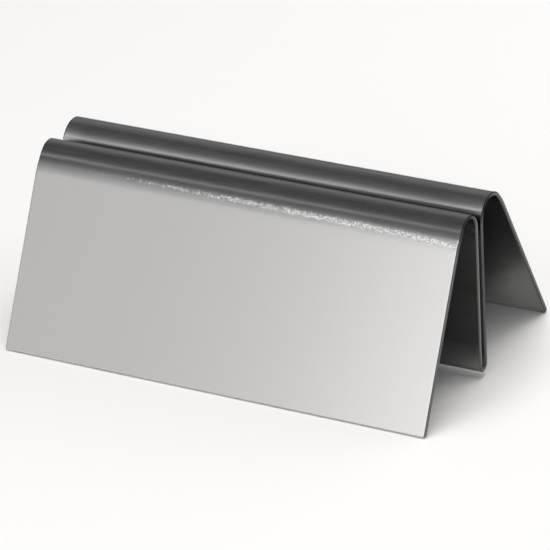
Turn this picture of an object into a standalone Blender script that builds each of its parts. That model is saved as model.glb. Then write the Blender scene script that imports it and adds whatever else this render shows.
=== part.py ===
"""Menu holder: a card slot between two round crowns, all folded from one sheet of satin stainless steel.

The sheet is modelled the way it is made. A flat blank with rounded corners is scored along its bend lines,
every point of it is carried round the folded profile, and the folded sheet then gets its thickness and its
rounded edges. Sizes are in metres and +Z is up. +X runs along the slot and -Y faces the front. The origin is
on the table, midway between the two feet.
"""

import math
from collections import namedtuple

import bmesh
import bpy

# Sheet
LENGTH = 0.100  # along the slot
SHEET_THICKNESS = 0.0010
CORNER_RADIUS = 0.0006  # at the four corners of the blank
EDGE_RADIUS = 0.00025  # of the rounding along every cut edge

# Stand
STANCE = 0.0590  # between the lines on which the front and the rear foot rest
FRONT_HEIGHT = 0.0396  # table to the top of the front crown
REAR_HEIGHT = 0.0401  # table to the top of the rear crown
FRONT_CROWN_RADIUS = 0.0040  # outside of the bend
REAR_CROWN_RADIUS = 0.0051  # outside of the bend
LEAD_RADIUS = 0.020  # outside of the slow bend by which a leg leads into its crown
FRONT_LEAD = math.radians(18)  # turned before the front crown
REAR_LEAD = math.radians(14)  # turned before the rear crown

# Card slot
SLOT_GAP = 0.0014  # clear width between the inner walls
SLOT_OFFSET = -0.0017  # middle of the slot from the middle of the stance, towards the front
SLOT_CLEARANCE = 0.0014  # table to the underside of the bend that closes the slot

# Facets of the round forms
CROWN_FACETS = 24
LEAD_FACETS = 6
SLOT_FACETS = 16
CORNER_FACETS = 6
EDGE_FACETS = 3
SCORE_MERGE = 1e-6  # a score this near to a point of the blank goes through it

# Finish
STEEL_COLOUR = (0.62, 0.61, 0.59, 1.0)
STEEL_ROUGHNESS = 0.34

# One stretch of the sheet's middle line: a straight run has no turn, a bend turns by its angle in radians.
Run = namedtuple("Run", "length turn facets")


def straight(length):
    return Run(length, 0.0, 0)


def bend(radius, turn, facets):
    return Run(radius * abs(turn), turn, facets)


def clear_scene():
    for item in list(bpy.data.objects):
        bpy.data.objects.remove(item, do_unlink=True)


def satin_steel():
    material = bpy.data.materials.new("satin_stainless_steel")
    material.use_nodes = True
    shader = material.node_tree.nodes["Principled BSDF"]
    shader.inputs["Base Color"].default_value = STEEL_COLOUR
    shader.inputs["Metallic"].default_value = 1.0
    shader.inputs["Roughness"].default_value = STEEL_ROUGHNESS
    return material


def leg(foot_y, crown_y, crown_z, crown_radius, lead):
    """Length of a leg's flat and its lean from upright, so that its rounded inner edge rests on the table.

    The slow bend at its top is wider than the crown, so it carries the flat further out and ends it lower.
    """
    wider = LEAD_RADIUS - crown_radius
    offset = crown_radius - SHEET_THICKNESS + wider * (1.0 - math.cos(lead)) + EDGE_RADIUS
    across = abs(foot_y - crown_y)
    rise = crown_z - EDGE_RADIUS
    reach = math.hypot(across, rise)
    length = math.sqrt(reach**2 - offset**2) - wider * math.sin(lead) + EDGE_RADIUS
    lean = math.acos(offset / reach) - math.atan2(rise, across)
    return length, lean


def folded_profile():
    """The sheet's middle line from the front foot to the rear foot: its start, first heading and runs."""
    half_sheet = SHEET_THICKNESS / 2
    half_gap = SLOT_GAP / 2
    front_foot_y = -STANCE / 2
    rear_foot_y = STANCE / 2
    front_crown_y = SLOT_OFFSET - half_gap - FRONT_CROWN_RADIUS
    rear_crown_y = SLOT_OFFSET + half_gap + REAR_CROWN_RADIUS
    front_crown_z = FRONT_HEIGHT - FRONT_CROWN_RADIUS
    rear_crown_z = REAR_HEIGHT - REAR_CROWN_RADIUS
    slot_bend_z = SLOT_CLEARANCE + SHEET_THICKNESS + half_gap
    front_leg, front_lean = leg(front_foot_y, front_crown_y, front_crown_z, FRONT_CROWN_RADIUS, FRONT_LEAD)
    rear_leg, rear_lean = leg(rear_foot_y, rear_crown_y, rear_crown_z, REAR_CROWN_RADIUS, REAR_LEAD)

    # The foot is cut square and rests on its rounded inner edge. Its middle lies outwards from there and up.
    outwards = half_sheet - EDGE_RADIUS
    start_y = front_foot_y - outwards * math.cos(front_lean) - EDGE_RADIUS * math.sin(front_lean)
    start_z = EDGE_RADIUS + outwards * math.sin(front_lean) - EDGE_RADIUS * math.cos(front_lean)
    first_heading = math.pi / 2 - front_lean
    runs = [
        straight(front_leg),
        bend(LEAD_RADIUS - half_sheet, -FRONT_LEAD, LEAD_FACETS),
        bend(FRONT_CROWN_RADIUS - half_sheet, front_lean + FRONT_LEAD - math.pi, CROWN_FACETS),
        straight(front_crown_z - slot_bend_z),
        bend(half_gap + half_sheet, math.pi, SLOT_FACETS),
        straight(rear_crown_z - slot_bend_z),
        bend(REAR_CROWN_RADIUS - half_sheet, rear_lean + REAR_LEAD - math.pi, CROWN_FACETS),
        bend(LEAD_RADIUS - half_sheet, -REAR_LEAD, LEAD_FACETS),
        straight(rear_leg),
    ]
    return (start_y, start_z), first_heading, runs


def folded_point(distance, start, first_heading, runs):
    """Place on the middle line, as (y, z), of a point that lies this far along the flat blank."""
    y, z = start
    heading = first_heading
    for run in runs:
        step = min(distance, run.length)
        if run.turn:
            radius = run.length / run.turn
            turned = heading + step / radius
            y += radius * (math.sin(turned) - math.sin(heading))
            z += radius * (math.cos(heading) - math.cos(turned))
            heading = turned
        else:
            y += step * math.cos(heading)
            z += step * math.sin(heading)
        distance -= step
    return y, z


def flat_blank(runs):
    """The blank with its corners rounded. It lies flat, its front foot on Y 0.

    It is scored across at every bend facet and where its corners end, so that each leg's flat is one face.
    """
    developed_length = sum(run.length for run in runs)
    blank = bmesh.new()
    bmesh.ops.create_grid(blank, x_segments=1, y_segments=1, size=0.5)
    bmesh.ops.scale(blank, vec=(LENGTH, developed_length, 1.0), verts=blank.verts[:])
    bmesh.ops.translate(blank, vec=(0.0, developed_length / 2, 0.0), verts=blank.verts[:])
    bmesh.ops.bevel(
        blank,
        geom=blank.verts[:],
        offset=CORNER_RADIUS,
        segments=CORNER_FACETS,
        profile=0.5,
        affect="VERTICES",
        material=-1,
    )
    scores = [CORNER_RADIUS, developed_length - CORNER_RADIUS]
    run_start = 0.0
    for run in runs:
        if run.turn:
            scores += [run_start + run.length * facet / run.facets for facet in range(run.facets + 1)]
        run_start += run.length
    for score in scores:
        bmesh.ops.bisect_plane(
            blank,
            geom=blank.verts[:] + blank.edges[:] + blank.faces[:],
            dist=SCORE_MERGE,
            plane_co=(0.0, score, 0.0),
            plane_no=(0.0, 1.0, 0.0),
        )
    return blank


def folded_sheet(collection):
    """The whole object: the blank folded over the two crowns and the slot, then given its thickness."""
    start, first_heading, runs = folded_profile()
    sheet = flat_blank(runs)
    for vertex in sheet.verts:
        y, z = folded_point(vertex.co.y, start, first_heading, runs)
        vertex.co.y = y
        vertex.co.z = z
    mesh = bpy.data.meshes.new("folded_sheet")
    sheet.to_mesh(mesh)
    sheet.free()
    mesh.shade_smooth()
    mesh.materials.append(satin_steel())

    item = bpy.data.objects.new("folded_sheet", mesh)
    collection.objects.link(item)
    thickness = item.modifiers.new("sheet_thickness", "SOLIDIFY")
    thickness.thickness = SHEET_THICKNESS
    thickness.offset = 0.0
    thickness.use_even_offset = True
    rounded_edges = item.modifiers.new("rounded_edges", "BEVEL")
    rounded_edges.width = EDGE_RADIUS
    rounded_edges.segments = EDGE_FACETS
    rounded_edges.limit_method = "ANGLE"
    rounded_edges.angle_limit = math.radians(60)
    return item


clear_scene()
holder = bpy.data.collections.new("menu_holder")
bpy.context.scene.collection.children.link(holder)
folded_sheet(holder)
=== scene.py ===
import math
from itertools import accumulate

import bmesh
import bpy
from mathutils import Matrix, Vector


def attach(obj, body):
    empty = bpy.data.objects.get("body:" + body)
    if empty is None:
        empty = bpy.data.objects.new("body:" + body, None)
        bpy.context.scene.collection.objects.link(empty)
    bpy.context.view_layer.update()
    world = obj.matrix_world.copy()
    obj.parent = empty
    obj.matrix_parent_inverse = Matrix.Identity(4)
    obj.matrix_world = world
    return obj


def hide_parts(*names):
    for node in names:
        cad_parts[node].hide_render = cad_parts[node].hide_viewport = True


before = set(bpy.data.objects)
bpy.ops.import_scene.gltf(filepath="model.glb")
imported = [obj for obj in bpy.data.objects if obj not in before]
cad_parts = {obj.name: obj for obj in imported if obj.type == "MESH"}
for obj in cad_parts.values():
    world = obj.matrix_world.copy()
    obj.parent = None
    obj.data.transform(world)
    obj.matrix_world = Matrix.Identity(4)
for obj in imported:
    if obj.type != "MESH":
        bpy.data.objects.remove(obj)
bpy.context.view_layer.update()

# Folded sheet: the whole holder, cut from 1 mm stainless steel with small round corners and a satin face.
# It is folded on a press: a slow bend leads each leg into its crown, and a tight bend closes the card slot.
# Its cut edges are rounded off, and it stands free on the inner edges of its two square-cut feet.
sheet_length = 0.100
sheet_thickness = 0.0010
corner_radius = 0.0006
edge_radius = 0.00025
stance = 0.0590
front_height = 0.0396
rear_height = 0.0401
front_crown_radius = 0.0040
rear_crown_radius = 0.0051
lead_radius = 0.020
front_lead = math.radians(18)
rear_lead = math.radians(14)
slot_gap = 0.0014
slot_middle = -0.0017
slot_clearance = 0.0014


def leg_flat(foot_y, crown_y, crown_z, crown_radius, lead):
    wider = lead_radius - crown_radius
    offset = crown_radius - sheet_thickness + wider * (1.0 - math.cos(lead)) + edge_radius
    across = abs(foot_y - crown_y)
    rise = crown_z - edge_radius
    reach = math.hypot(across, rise)
    lean = math.acos(offset / reach) - math.atan2(rise, across)
    return math.sqrt(reach**2 - offset**2) - wider * math.sin(lead) + edge_radius, lean


half_sheet = sheet_thickness / 2
half_gap = slot_gap / 2
front_crown_y = slot_middle - half_gap - front_crown_radius
rear_crown_y = slot_middle + half_gap + rear_crown_radius
front_crown_z = front_height - front_crown_radius
rear_crown_z = rear_height - rear_crown_radius
slot_bend_z = slot_clearance + sheet_thickness + half_gap
front_flat, front_lean = leg_flat(-stance / 2, front_crown_y, front_crown_z, front_crown_radius, front_lead)
rear_flat, rear_lean = leg_flat(stance / 2, rear_crown_y, rear_crown_z, rear_crown_radius, rear_lead)

# Each stretch of the blank from the front foot to the rear foot: its length, how far it turns and its facets.
front_over = math.pi - front_lean - front_lead
rear_over = math.pi - rear_lean - rear_lead
stretches = [
    (front_flat, 0.0, 12),
    ((lead_radius - half_sheet) * front_lead, -front_lead, 24),
    ((front_crown_radius - half_sheet) * front_over, -front_over, 56),
    (front_crown_z - slot_bend_z, 0.0, 12),
    ((half_gap + half_sheet) * math.pi, math.pi, 32),
    (rear_crown_z - slot_bend_z, 0.0, 12),
    ((rear_crown_radius - half_sheet) * rear_over, -rear_over, 56),
    ((lead_radius - half_sheet) * rear_lead, -rear_lead, 20),
    (rear_flat, 0.0, 12),
]
stretch_ends = list(accumulate(run for run, _, _ in stretches))
blank_length = stretch_ends[-1]


def folded_place(distance):
    outwards = half_sheet - edge_radius
    y = -stance / 2 - outwards * math.cos(front_lean) - edge_radius * math.sin(front_lean)
    z = edge_radius + outwards * math.sin(front_lean) - edge_radius * math.cos(front_lean)
    heading = math.pi / 2 - front_lean
    for run, turn, _ in stretches:
        step = min(distance, run)
        if turn:
            radius = run / turn
            turned = heading + step / radius
            y += radius * (math.sin(turned) - math.sin(heading))
            z += radius * (math.cos(heading) - math.cos(turned))
            heading = turned
        else:
            y += step * math.cos(heading)
            z += step * math.sin(heading)
        distance -= step
    return y, z


# The blank is sheared to size, its corners are rounded, and its bend lines are scored across it.
blank = bmesh.new()
bmesh.ops.create_grid(blank, x_segments=1, y_segments=1, size=0.5)
bmesh.ops.scale(blank, vec=(sheet_length, blank_length, 1.0), verts=blank.verts[:])
bmesh.ops.translate(blank, vec=(0.0, blank_length / 2, 0.0), verts=blank.verts[:])
bmesh.ops.bevel(
    blank, geom=blank.verts[:], offset=corner_radius, segments=8, profile=0.5, affect="VERTICES", material=-1
)
cross_scores = [corner_radius, blank_length - corner_radius]
stretch_start = 0.0
for run, _, facets in stretches:
    cross_scores += [stretch_start + run * facet / facets for facet in range(1, facets + 1)]
    stretch_start += run
score_tolerance = 1e-6
for score in cross_scores[:-1]:
    bmesh.ops.bisect_plane(
        blank,
        geom=blank.verts[:] + blank.edges[:] + blank.faces[:],
        dist=score_tolerance,
        plane_co=(0.0, score, 0.0),
        plane_no=(0.0, 1.0, 0.0),
    )
half_length = sheet_length / 2

# Lengthwise lines lie closer together towards the ends, where the finish changes within a few millimetres.
from_left_end = (0.0025, 0.005, 0.009, 0.015, 0.025, 0.050, 0.075, 0.085, 0.091, 0.095, 0.0975)
for score in (corner_radius, *from_left_end, sheet_length - corner_radius):
    bmesh.ops.bisect_plane(
        blank,
        geom=blank.verts[:] + blank.edges[:] + blank.faces[:],
        dist=score_tolerance,
        plane_co=(score - half_length, 0.0, 0.0),
        plane_no=(1.0, 0.0, 0.0),
    )

# The grain follows the sheet over its bends, so its map is the flat blank, in shares of the blank's length.
grain_map = blank.loops.layers.uv.new("grain")
for face in blank.faces:
    for loop in face.loops:
        loop[grain_map].uv = (loop.vert.co.x / blank_length + 0.5, loop.vert.co.y / blank_length)

# Painted light and shade: the underside is coloured lighter at the feet and along the slot, darker under the
# crowns.
# The cut ends are coloured dark at the front leg and lightest along the slot, also painted light and shade.
# Both are shares by the place along the blank, from the front foot on.
front_bend_start, front_bend_end, slot_bend_start, slot_bend_end = stretch_ends[1:5]
rear_bend_start, _, rear_flat_start = stretch_ends[5:8]
underside_light_by_place = (
    (0.0, 1.0),
    (front_flat / 2, 0.30),
    (front_flat, 0.30),
    (front_bend_start, 0.0),
    (front_bend_end - 0.0015, 0.04),
    (front_bend_end - 0.0006, 0.14),
    (front_bend_end + 0.0004, 0.60),
    (front_bend_end + 0.0060, 0.48),
    (front_bend_end + 0.0130, 0.16),
    (slot_bend_start - 0.006, 0.03),
    (slot_bend_start, 0.26),
    (slot_bend_end, 0.26),
    (rear_bend_start, 0.06),
    (rear_flat_start, 0.04),
    (rear_flat_start + 0.0080, 0.11),
    (rear_flat_start + 0.0135, 0.25),
    (rear_flat_start + 0.0175, 0.45),
    (rear_flat_start + 0.0190, 0.60),
    (rear_flat_start + 0.0210, 0.90),
    (rear_flat_start + 0.0228, 1.0),
    (blank_length, 1.0),
)
edge_light_by_place = (
    (0.0, 0.0),
    (front_bend_start + 0.0025, 0.0),
    (front_bend_start + 0.0040, 0.3),
    (front_bend_end, 0.64),
    (slot_bend_start, 0.64),
    (slot_bend_end, 0.38),
    (rear_bend_start - 0.0120, 0.33),
    (rear_bend_start, 0.42),
    (rear_bend_start + 0.0035, 0.0),
    (rear_bend_start + 0.0060, 0.0),
    (rear_bend_start + 0.0080, 0.5),
    (blank_length, 0.55),
)


def share_at(place, shares):
    for (start, from_share), (stop, to_share) in zip(shares, shares[1:]):
        if place <= stop:
            return from_share + (to_share - from_share) * (place - start) / (stop - start)
    return shares[-1][1]


def fade(distance, reach):
    return math.exp(-((distance / reach) ** 2))


def within_one(share):
    return max(0.0, min(1.0, share))


# The bending tool rubs a line of fine points into each slow bend. It starts sparsely on the left, comes nearer
# to the flat towards the right, and dips at the right end.
rub_depth_left = 0.0033
rub_slant, rub_slant_start = 0.0014, 0.35
rub_dip, rub_dip_start = 0.004, 0.88
rub_width_most, rub_narrowing, rub_widest_place = 0.00074, 0.0006, 0.7
rub_growth, rub_start, rub_least = 3.2, 0.06, 0.06

# Painted shade: the slot's walls are coloured dark up to the lips, and the skin above them is hazy.
# Near the ends the painted shade fades out. Angles are round the crowns from the slot's walls.
lip_angle_left, lip_angle_rise, lip_blur = math.radians(30.5), math.radians(3.2), math.radians(4)
haze_angle, haze_spread = math.radians(41), math.radians(22)
# Painted highlight: above the lips the crowns are coloured lighter, most of all near the ends.
highlight_angle, highlight_spread, highlight_least = math.radians(48), math.radians(17), 0.3
left_shade_reach, right_end_reach, end_highlight_reach = 0.003, 0.002, 0.004
wall_end_shade_fade, wall_end_haze = 0.2, 0.6
full_bend = 0.006

# The rear leg's painted light slants up at its corners. The rounding of the front foot and of the front
# leg's ends is coloured paler, the left end most: painted light.
corner_slant, corner_shade, corner_reach = 1.1, 0.4, 0.003
end_edge_light_reach, right_end_edge_light = 0.0003, 0.24

rub_and_glints = blank.verts.layers.float.new("rub_and_glints")
hazed = blank.verts.layers.float.new("hazed")
painted_slot_shade = blank.verts.layers.float.new("painted_slot_shade")
painted_lip_highlight = blank.verts.layers.float.new("painted_lip_highlight")
bent = blank.verts.layers.float.new("bent")
painted_underside_light = blank.verts.layers.float.new("painted_underside_light")
painted_edge_light = blank.verts.layers.float.new("painted_edge_light")
painted_end_edge_light = blank.verts.layers.float.new("painted_end_edge_light")
for vert in blank.verts:
    along = max(0.0, vert.co.y)
    rightwards = vert.co.x / sheet_length + 0.5
    rub_depth = (
        rub_depth_left
        - rub_slant * max(0.0, rightwards - rub_slant_start)
        - rub_dip * max(0.0, rightwards - rub_dip_start)
    )
    rub_width = rub_width_most - rub_narrowing * abs(rightwards - rub_widest_place)
    from_rub = min(abs(along - front_flat - rub_depth), abs(blank_length - rear_flat - rub_depth - along))
    rub_strength = max(rub_least, min(1.0, rub_growth * (rightwards - rub_start)))
    vert[rub_and_glints] = rub_strength * fade(from_rub, rub_width)

    past_lip = max(
        (front_bend_end - along) / (front_crown_radius - half_sheet),
        (along - rear_bend_start) / (rear_crown_radius - half_sheet),
    )
    from_end = half_length - abs(vert.co.x)
    near_left = fade(half_length + vert.co.x, left_shade_reach)
    near_right = fade(half_length - vert.co.x, right_end_reach)
    lip_angle = lip_angle_left + lip_angle_rise * rightwards
    below_lip = within_one(0.5 - (past_lip - lip_angle) / lip_blur)
    right_shade_fade = 1.0 if slot_bend_start < along < slot_bend_end else wall_end_shade_fade
    vert[painted_slot_shade] = below_lip * (1.0 - near_left) * (1.0 - right_shade_fade * near_right)
    vert[hazed] = fade(past_lip - haze_angle, haze_spread)
    if front_bend_end < along < rear_bend_start:
        vert[hazed] = max(vert[hazed], wall_end_haze * near_right)
    near_end = fade(from_end, end_highlight_reach * (1.0 + rightwards))
    vert[painted_lip_highlight] = max(highlight_least, near_end) * fade(past_lip - highlight_angle, highlight_spread)
    from_flat = min(along - front_flat, blank_length - rear_flat - along)
    vert[bent] = within_one(from_flat / full_bend)

    vert[painted_underside_light] = share_at(along, underside_light_by_place)
    if along > rear_flat_start:
        corner_place = max(rear_flat_start, along - corner_slant * from_end)
        vert[painted_underside_light] = share_at(corner_place, underside_light_by_place) * (1.0 - corner_shade * fade(from_end, corner_reach))
    vert[painted_edge_light] = share_at(along, edge_light_by_place)
    end_edge_light_share = 1.0 if vert.co.x < 0.0 else right_end_edge_light
    before_crown = within_one((front_bend_start - along) / (front_bend_start - front_flat))
    at_end = within_one(1.0 - from_end / end_edge_light_reach)
    vert[painted_end_edge_light] = max(1.0 - along / end_edge_light_reach, end_edge_light_share * before_crown * at_end)
    vert.co.y, vert.co.z = folded_place(vert.co.y)

sheet_mesh = bpy.data.meshes.new("folded_sheet_satin")
blank.to_mesh(sheet_mesh)
blank.free()
sheet_mesh.shade_smooth()

# The outer side is satin steel, and its grain runs up the front leg, over the bends and down the back.
satin = bpy.data.materials.new("satin_stainless_steel")
satin.use_nodes = True
nodes = satin.node_tree.nodes
links = satin.node_tree.links
steel = nodes["Principled BSDF"]
steel.inputs["Metallic"].default_value = 1.0
steel.inputs["Anisotropic"].default_value = 0.8
grain_place = nodes.new("ShaderNodeUVMap")
grain_place.uv_map = "grain"
grain_way = nodes.new("ShaderNodeTangent")
grain_way.direction_type = "UV_MAP"
grain_way.uv_map = "grain"
links.new(grain_way.outputs["Tangent"], steel.inputs["Tangent"])

# Long fine lines from the satin belt, about 0.1 mm apart.
line_scale = nodes.new("ShaderNodeMapping")
line_scale.inputs["Scale"].default_value = (1500.0, 14.0, 1.0)
links.new(grain_place.outputs["UV"], line_scale.inputs["Vector"])
belt_lines = nodes.new("ShaderNodeTexNoise")
belt_lines.inputs["Scale"].default_value = 1.0
belt_lines.inputs["Detail"].default_value = 3.0
links.new(line_scale.outputs["Vector"], belt_lines.inputs["Vector"])

line_tone = nodes.new("ShaderNodeMix")
line_tone.data_type = "RGBA"
line_tone.inputs["A"].default_value = (0.595, 0.593, 0.589, 1.0)
line_tone.inputs["B"].default_value = (0.625, 0.623, 0.619, 1.0)
links.new(belt_lines.outputs["Fac"], line_tone.inputs["Factor"])

# Faint streaks run along the bends, where the sheet slid over the tool.
streak_place = nodes.new("ShaderNodeMapping")
streak_place.inputs["Scale"].default_value = (18.0, 170.0, 1.0)
links.new(grain_place.outputs["UV"], streak_place.inputs["Vector"])
streaks = nodes.new("ShaderNodeTexNoise")
streaks.inputs["Scale"].default_value = 1.0
streaks.inputs["Detail"].default_value = 3.0
links.new(streak_place.outputs["Vector"], streaks.inputs["Vector"])
bend_share = nodes.new("ShaderNodeAttribute")
bend_share.attribute_name = "bent"
streak_shade = nodes.new("ShaderNodeMapRange")
streak_shade.inputs["From Min"].default_value = 0.3
streak_shade.inputs["From Max"].default_value = 0.7
streak_shade.inputs["To Min"].default_value = -0.12
streak_shade.inputs["To Max"].default_value = 0.12
links.new(streaks.outputs["Fac"], streak_shade.inputs["Value"])
streak_gain = nodes.new("ShaderNodeMath")
streak_gain.operation = "MULTIPLY_ADD"
streak_gain.inputs[2].default_value = 1.0
links.new(streak_shade.outputs["Result"], streak_gain.inputs[0])
links.new(bend_share.outputs["Fac"], streak_gain.inputs[1])
streak_tone = nodes.new("ShaderNodeVectorMath")
streak_tone.operation = "SCALE"
links.new(line_tone.outputs["Result"], streak_tone.inputs["Vector"])
links.new(streak_gain.outputs["Value"], streak_tone.inputs["Scale"])

# The tool leaves the bends a little smoother, but above the lips of the slot the skin is hazy.
line_sheen = nodes.new("ShaderNodeMapRange")
line_sheen.inputs["To Min"].default_value = 0.19
line_sheen.inputs["To Max"].default_value = 0.22
links.new(belt_lines.outputs["Fac"], line_sheen.inputs["Value"])
haze_share = nodes.new("ShaderNodeAttribute")
haze_share.attribute_name = "hazed"
bend_sheen = nodes.new("ShaderNodeMath")
bend_sheen.operation = "MULTIPLY_ADD"
bend_sheen.inputs[1].default_value = -0.06
links.new(bend_share.outputs["Fac"], bend_sheen.inputs[0])
links.new(line_sheen.outputs["Result"], bend_sheen.inputs[2])
haze_sheen = nodes.new("ShaderNodeMath")
haze_sheen.operation = "MULTIPLY_ADD"
haze_sheen.inputs[1].default_value = 0.35
links.new(haze_share.outputs["Fac"], haze_sheen.inputs[0])
links.new(bend_sheen.outputs["Value"], haze_sheen.inputs[2])

# Along the rub lines the skin is broken up into fine facets, in clusters. Each leans its own way, on the
# whole a little downwards. The harder the rub, the more of them are coloured near white: painted glints.
rub_place = nodes.new("ShaderNodeMapping")
rub_place.inputs["Scale"].default_value = (820.0, 820.0, 1.0)
links.new(grain_place.outputs["UV"], rub_place.inputs["Vector"])
rub_cells = nodes.new("ShaderNodeVectorMath")
rub_cells.operation = "FLOOR"
links.new(rub_place.outputs["Vector"], rub_cells.inputs[0])
rub_points = nodes.new("ShaderNodeTexWhiteNoise")
rub_points.noise_dimensions = "2D"
links.new(rub_cells.outputs["Vector"], rub_points.inputs["Vector"])
rub_line = nodes.new("ShaderNodeAttribute")
rub_line.attribute_name = "rub_and_glints"
rub_clouds = nodes.new("ShaderNodeTexNoise")
rub_clouds.inputs["Scale"].default_value = 170.0
rub_clouds.inputs["Detail"].default_value = 2.0
links.new(grain_place.outputs["UV"], rub_clouds.inputs["Vector"])
rub_patch = nodes.new("ShaderNodeMapRange")
rub_patch.inputs["From Min"].default_value = 0.32
rub_patch.inputs["From Max"].default_value = 0.62
rub_patch.inputs["To Min"].default_value = 0.45
rub_patch.inputs["To Max"].default_value = 1.0
links.new(rub_clouds.outputs["Fac"], rub_patch.inputs["Value"])
rub_and_glint_share = nodes.new("ShaderNodeMath")
rub_and_glint_share.operation = "MULTIPLY"
links.new(rub_line.outputs["Fac"], rub_and_glint_share.inputs[0])
links.new(rub_patch.outputs["Result"], rub_and_glint_share.inputs[1])
rub_sheen = nodes.new("ShaderNodeMath")
rub_sheen.operation = "MULTIPLY_ADD"
rub_sheen.inputs[1].default_value = 0.2
links.new(rub_and_glint_share.outputs["Value"], rub_sheen.inputs[0])
links.new(haze_sheen.outputs["Value"], rub_sheen.inputs[2])
links.new(rub_sheen.outputs["Value"], steel.inputs["Roughness"])
rub_lean = nodes.new("ShaderNodeVectorMath")
rub_lean.operation = "SUBTRACT"
rub_lean.inputs[1].default_value = (0.5, 0.5, 0.7)
links.new(rub_points.outputs["Color"], rub_lean.inputs[0])
rub_amount = nodes.new("ShaderNodeMath")
rub_amount.operation = "MULTIPLY"
rub_amount.inputs[1].default_value = 0.16
links.new(rub_and_glint_share.outputs["Value"], rub_amount.inputs[0])
rub_tilt = nodes.new("ShaderNodeVectorMath")
rub_tilt.operation = "SCALE"
links.new(rub_lean.outputs["Vector"], rub_tilt.inputs["Vector"])
links.new(rub_amount.outputs["Value"], rub_tilt.inputs["Scale"])
skin_way = nodes.new("ShaderNodeNewGeometry")
rub_way = nodes.new("ShaderNodeVectorMath")
rub_way.operation = "ADD"
links.new(skin_way.outputs["Normal"], rub_way.inputs[0])
links.new(rub_tilt.outputs["Vector"], rub_way.inputs[1])
facet_way = nodes.new("ShaderNodeVectorMath")
facet_way.operation = "NORMALIZE"
links.new(rub_way.outputs["Vector"], facet_way.inputs[0])
links.new(facet_way.outputs["Vector"], steel.inputs["Normal"])
# Painted glints: the chosen facets get a near-white colour.
painted_glint_chance = nodes.new("ShaderNodeMath")
painted_glint_chance.operation = "MULTIPLY"
links.new(rub_points.outputs["Value"], painted_glint_chance.inputs[0])
links.new(rub_and_glint_share.outputs["Value"], painted_glint_chance.inputs[1])
painted_glint_share = nodes.new("ShaderNodeMapRange")
painted_glint_share.inputs["From Min"].default_value = 0.36
painted_glint_share.inputs["From Max"].default_value = 0.45
links.new(painted_glint_chance.outputs["Value"], painted_glint_share.inputs["Value"])
painted_glint_tone = nodes.new("ShaderNodeMix")
painted_glint_tone.data_type = "RGBA"
painted_glint_tone.inputs["B"].default_value = (1.0, 0.997, 0.990, 1.0)
links.new(painted_glint_share.outputs["Result"], painted_glint_tone.inputs["Factor"])
links.new(streak_tone.outputs["Vector"], painted_glint_tone.inputs["A"])

# Painted highlight: the crowns are coloured lighter above the lips of the slot, most of all at the ends.
lip_highlight_share = nodes.new("ShaderNodeAttribute")
lip_highlight_share.attribute_name = "painted_lip_highlight"
lip_highlight_tone = nodes.new("ShaderNodeMix")
lip_highlight_tone.data_type = "RGBA"
lip_highlight_tone.inputs["B"].default_value = (0.95, 0.947, 0.941, 1.0)
links.new(lip_highlight_share.outputs["Fac"], lip_highlight_tone.inputs["Factor"])
links.new(painted_glint_tone.outputs["Result"], lip_highlight_tone.inputs["A"])

# Painted shade: inside the slot and up to its lips the colour is dark.
slot_shade_share = nodes.new("ShaderNodeAttribute")
slot_shade_share.attribute_name = "painted_slot_shade"
slot_shade_tone = nodes.new("ShaderNodeMix")
slot_shade_tone.data_type = "RGBA"
slot_shade_tone.inputs["B"].default_value = (0.11, 0.1096, 0.1088, 1.0)
links.new(slot_shade_share.outputs["Fac"], slot_shade_tone.inputs["Factor"])
links.new(lip_highlight_tone.outputs["Result"], slot_shade_tone.inputs["A"])
links.new(slot_shade_tone.outputs["Result"], steel.inputs["Base Color"])

# The underside keeps the dull grey skin that the rolling mill leaves, because nobody sees it.
mill = bpy.data.materials.new("mill_finish_underside")
mill.use_nodes = True
nodes = mill.node_tree.nodes
links = mill.node_tree.links
mill_steel = nodes["Principled BSDF"]
mill_steel.inputs["Metallic"].default_value = 1.0
mill_steel.inputs["Specular Tint"].default_value = (0.4, 0.4, 0.4, 1.0)
mill_place = nodes.new("ShaderNodeTexCoord")
mill_cloud = nodes.new("ShaderNodeTexNoise")
mill_cloud.inputs["Scale"].default_value = 90.0
mill_cloud.inputs["Detail"].default_value = 5.0
links.new(mill_place.outputs["Object"], mill_cloud.inputs["Vector"])
# Painted light and shade: the colour is dark deep under the crowns and lighter towards the feet and the slot.
mill_tone = nodes.new("ShaderNodeMix")
mill_tone.data_type = "RGBA"
mill_tone.inputs["A"].default_value = (0.08, 0.0797, 0.0791, 1.0)
mill_tone.inputs["B"].default_value = (0.92, 0.917, 0.910, 1.0)
mill_painted_light = nodes.new("ShaderNodeAttribute")
mill_painted_light.attribute_name = "painted_underside_light"
mill_patch = nodes.new("ShaderNodeMapRange")
mill_patch.inputs["From Min"].default_value = 0.3
mill_patch.inputs["From Max"].default_value = 0.7
mill_patch.inputs["To Min"].default_value = -0.03
mill_patch.inputs["To Max"].default_value = 0.03
links.new(mill_cloud.outputs["Fac"], mill_patch.inputs["Value"])
mill_share = nodes.new("ShaderNodeMath")
mill_share.operation = "ADD"
links.new(mill_painted_light.outputs["Fac"], mill_share.inputs[0])
links.new(mill_patch.outputs["Result"], mill_share.inputs[1])
links.new(mill_share.outputs["Value"], mill_tone.inputs["Factor"])
links.new(mill_tone.outputs["Result"], mill_steel.inputs["Base Color"])
mill_steel.inputs["Roughness"].default_value = 0.27
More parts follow.
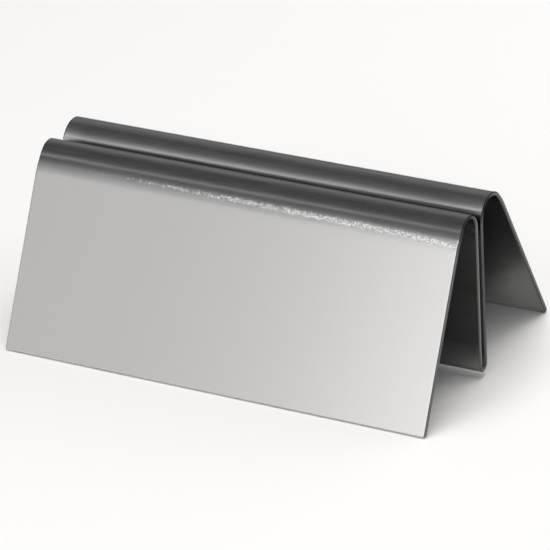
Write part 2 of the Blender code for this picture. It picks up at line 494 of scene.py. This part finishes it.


# The cut ends of the sheet are left as the blade leaves them: dull, and coloured lighter along the slot as
# painted light.
# The rounding along every cut edge is smoother and dark, with fine scratches. The rounding of the front foot
# and of the front leg's ends is coloured paler: painted light.
def edge_finish(name, marks_scale, marks_detail, dark, light, marks_shade, roughness):
    finish = bpy.data.materials.new(name)
    finish.use_nodes = True
    nodes = finish.node_tree.nodes
    links = finish.node_tree.links
    steel = nodes["Principled BSDF"]
    steel.inputs["Metallic"].default_value = 1.0
    steel.inputs["Specular Tint"].default_value = (0.2, 0.2, 0.2, 1.0)
    place = nodes.new("ShaderNodeTexCoord")
    marks = nodes.new("ShaderNodeTexNoise")
    marks.inputs["Scale"].default_value = marks_scale
    marks.inputs["Detail"].default_value = marks_detail
    links.new(place.outputs["Object"], marks.inputs["Vector"])
    patch = nodes.new("ShaderNodeMapRange")
    patch.inputs["From Min"].default_value = 0.3
    patch.inputs["From Max"].default_value = 0.7
    patch.inputs["To Min"].default_value, patch.inputs["To Max"].default_value = marks_shade
    links.new(marks.outputs["Fac"], patch.inputs["Value"])
    edge_light_attr = nodes.new("ShaderNodeAttribute")
    edge_light_attr.attribute_name = "painted_edge_light"
    share = nodes.new("ShaderNodeMath")
    share.operation = "ADD"
    links.new(edge_light_attr.outputs["Fac"], share.inputs[0])
    links.new(patch.outputs["Result"], share.inputs[1])
    tone = nodes.new("ShaderNodeMix")
    tone.data_type = "RGBA"
    tone.inputs["A"].default_value = dark
    tone.inputs["B"].default_value = light
    links.new(share.outputs["Value"], tone.inputs["Factor"])
    end_edge_light_attr = nodes.new("ShaderNodeAttribute")
    end_edge_light_attr.attribute_name = "painted_end_edge_light"
    end_edge_light_tone = nodes.new("ShaderNodeMix")
    end_edge_light_tone.data_type = "RGBA"
    end_edge_light_tone.inputs["B"].default_value = (0.80, 0.797, 0.792, 1.0)
    links.new(end_edge_light_attr.outputs["Fac"], end_edge_light_tone.inputs["Factor"])
    links.new(tone.outputs["Result"], end_edge_light_tone.inputs["A"])
    links.new(end_edge_light_tone.outputs["Result"], steel.inputs["Base Color"])
    sheen = nodes.new("ShaderNodeMapRange")
    sheen.inputs["To Min"].default_value, sheen.inputs["To Max"].default_value = roughness
    links.new(marks.outputs["Fac"], sheen.inputs["Value"])
    links.new(sheen.outputs["Result"], steel.inputs["Roughness"])
    return finish


cut_edge = edge_finish(
    "cut_steel_edge",
    marks_scale=2600.0,
    marks_detail=2.0,
    dark=(0.04, 0.0399, 0.0396, 1.0),
    light=(0.46, 0.4585, 0.455, 1.0),
    marks_shade=(-0.04, 0.06),
    roughness=(0.46, 0.46),
)
round_edge = edge_finish(
    "rounded_steel_edge",
    marks_scale=1800.0,
    marks_detail=3.0,
    dark=(0.06, 0.0598, 0.0594, 1.0),
    light=(0.15, 0.1495, 0.1485, 1.0),
    marks_shade=(-0.1, 0.1),
    roughness=(0.24, 0.34),
)

# The sheet gets its thickness, half to each side of the folded blank, and then its rounded edges.
for finish in (satin, mill, cut_edge, round_edge):
    sheet_mesh.materials.append(finish)
folded_sheet = bpy.data.objects.new("folded_sheet_satin", sheet_mesh)
bpy.context.scene.collection.objects.link(folded_sheet)
wall = folded_sheet.modifiers.new("sheet_thickness", "SOLIDIFY")
wall.thickness = sheet_thickness
wall.offset = 0.0
wall.use_even_offset = True
wall.material_offset = 1
wall.material_offset_rim = 2
rounding = folded_sheet.modifiers.new("rounded_edges", "BEVEL")
rounding.width = edge_radius
rounding.segments = 5
rounding.limit_method = "ANGLE"
rounding.angle_limit = math.radians(60)
rounding.material = 3
shading = folded_sheet.modifiers.new("flat_faces_stay_flat", "WEIGHTED_NORMAL")
shading.mode = "FACE_AREA"
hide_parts("folded_sheet")
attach(folded_sheet, "root")

# Table: a plain white top that runs past the edges of the view.
# Its paint is matt, so that only the holder's soft shadow shows on it.
table_top = bmesh.new()
bmesh.ops.create_grid(table_top, x_segments=1, y_segments=1, size=3.0)
table_mesh = bpy.data.meshes.new("table_top")
table_top.to_mesh(table_mesh)
table_top.free()
table_white = bpy.data.materials.new("table_white")
table_white.use_nodes = True
table_paint = table_white.node_tree.nodes["Principled BSDF"]
table_paint.inputs["Base Color"].default_value = (0.95, 0.95, 0.95, 1.0)
table_paint.inputs["Roughness"].default_value = 0.9
table_paint.inputs["Specular IOR Level"].default_value = 0.0
table_mesh.materials.append(table_white)
table = bpy.data.objects.new("table_top", table_mesh)
bpy.context.scene.collection.objects.link(table)

# Studio room: dim walls, darkest overhead, a little lighter behind the holder and just above the front panel.
# A faint band of light runs across the front wall higher up, and the right side is darker still.
room = bpy.data.worlds.new("studio_room")
bpy.context.scene.world = room
room.use_nodes = True
nodes = room.node_tree.nodes
links = room.node_tree.links
room_light = nodes["Background"]
room_way = nodes.new("ShaderNodeTexCoord")
room_axes = nodes.new("ShaderNodeSeparateXYZ")
links.new(room_way.outputs["Generated"], room_axes.inputs["Vector"])
frontwards = nodes.new("ShaderNodeMath")
frontwards.operation = "MULTIPLY"
frontwards.inputs[1].default_value = -1.0
links.new(room_axes.outputs["Y"], frontwards.inputs[0])
upwards = nodes.new("ShaderNodeMath")
upwards.operation = "ABSOLUTE"
links.new(room_axes.outputs["Z"], upwards.inputs[0])
room_angle = nodes.new("ShaderNodeMath")
room_angle.operation = "ARCTAN2"
links.new(upwards.outputs["Value"], room_angle.inputs[0])
links.new(frontwards.outputs["Value"], room_angle.inputs[1])
room_share = nodes.new("ShaderNodeMapRange")
room_share.inputs["From Min"].default_value = 0.0
room_share.inputs["From Max"].default_value = math.pi
links.new(room_angle.outputs["Value"], room_share.inputs["Value"])
room_shades = nodes.new("ShaderNodeValToRGB")
links.new(room_share.outputs["Result"], room_shades.inputs["Fac"])
links.new(room_shades.outputs["Color"], room_light.inputs["Color"])
shades = room_shades.color_ramp.elements
shades[0].position = 0.0
shades[0].color = (0.25, 0.25, 0.25, 1.0)
shades[1].position = 1.0
shades[1].color = (0.08, 0.08, 0.08, 1.0)
for degrees, shade in (
    (33.8, 0.25),
    (35.9, 0.58),
    (38.5, 0.54),
    (41.5, 0.43),
    (45, 0.31),
    (48.5, 0.20),
    (52.5, 0.13),
    (54.0, 0.12),
    (55.6, 0.34),
    (57.4, 0.32),
    (59.0, 0.12),
    (66, 0.10),
    (95, 0.085),
    (110, 0.09),
    (134, 0.165),
    (154, 0.22),
    (166, 0.20),
):
    element = shades.new(degrees / 180)
    element.color = (shade, shade, shade, 1.0)
right_side = nodes.new("ShaderNodeMapRange")
right_side.inputs["From Min"].default_value = 0.3
right_side.inputs["From Max"].default_value = 0.8
right_side.inputs["To Min"].default_value = 1.0
right_side.inputs["To Max"].default_value = 0.3
links.new(room_axes.outputs["X"], right_side.inputs["Value"])
links.new(right_side.outputs["Result"], room_light.inputs["Strength"])


# Studio lights: a wide panel stands on the table in front of the holder, with a slim key light close before it
# and a short strip above it. A wide, dim panel stands at the right rear. A large panel over the table lights
# it from above, and isn't mirrored in the steel.
def soft_light(name, place, aim, width, height, radiance):
    lamp_data = bpy.data.lights.new(name, "AREA")
    lamp_data.shape = "RECTANGLE"
    lamp_data.size = width
    lamp_data.size_y = height
    lamp_data.energy = math.pi * width * height * radiance
    lamp_data.color = (1.0, 0.985, 0.972)
    lamp = bpy.data.objects.new(name, lamp_data)
    lamp.location = place
    way = Vector(aim) - Vector(place)
    lamp.rotation_euler = way.to_track_quat("-Z", "Y").to_euler()
    lamp.visible_camera = False
    bpy.context.scene.collection.objects.link(lamp)
    return lamp


soft_light("front_panel", (-0.05, -0.40, 0.153), (-0.05, 0.0, 0.153), 0.90, 0.306, 0.528)
soft_light("front_key", (-0.09, -0.38, 0.160), (-0.09, 0.0, 0.160), 0.04, 0.320, 2.15)
soft_light("front_strip", (0.02, -0.36, 0.340), (0.02, 0.0, 0.036), 0.20, 0.065, 2.4)
soft_light("rear_panel", (0.46, 0.40, 0.32), (0.03, 0.01, 0.0), 1.00, 0.55, 1.15)
top_panel = soft_light("top_panel", (0.0, 0.05, 1.5), (0.0, 0.05, 0.0), 1.0, 1.0, 5.5)
top_panel.visible_glossy = False

# Camera: the photograph's view, from the right front and above.
# Its place and its long lens come from a fit to the edges in the photograph.
camera_data = bpy.data.cameras.new("camera")
camera_data.lens = 258.719
camera_data.sensor_width = 36.0
camera_data.clip_end = 20.0
camera = bpy.data.objects.new("camera", camera_data)
camera.location = (0.36884, -0.65345, 0.39741)
camera.rotation_euler = (math.radians(62.864), math.radians(2.940), math.radians(27.917))
bpy.context.scene.collection.objects.link(camera)
bpy.context.scene.camera = camera
bpy.context.scene.view_settings.view_transform = "Standard"
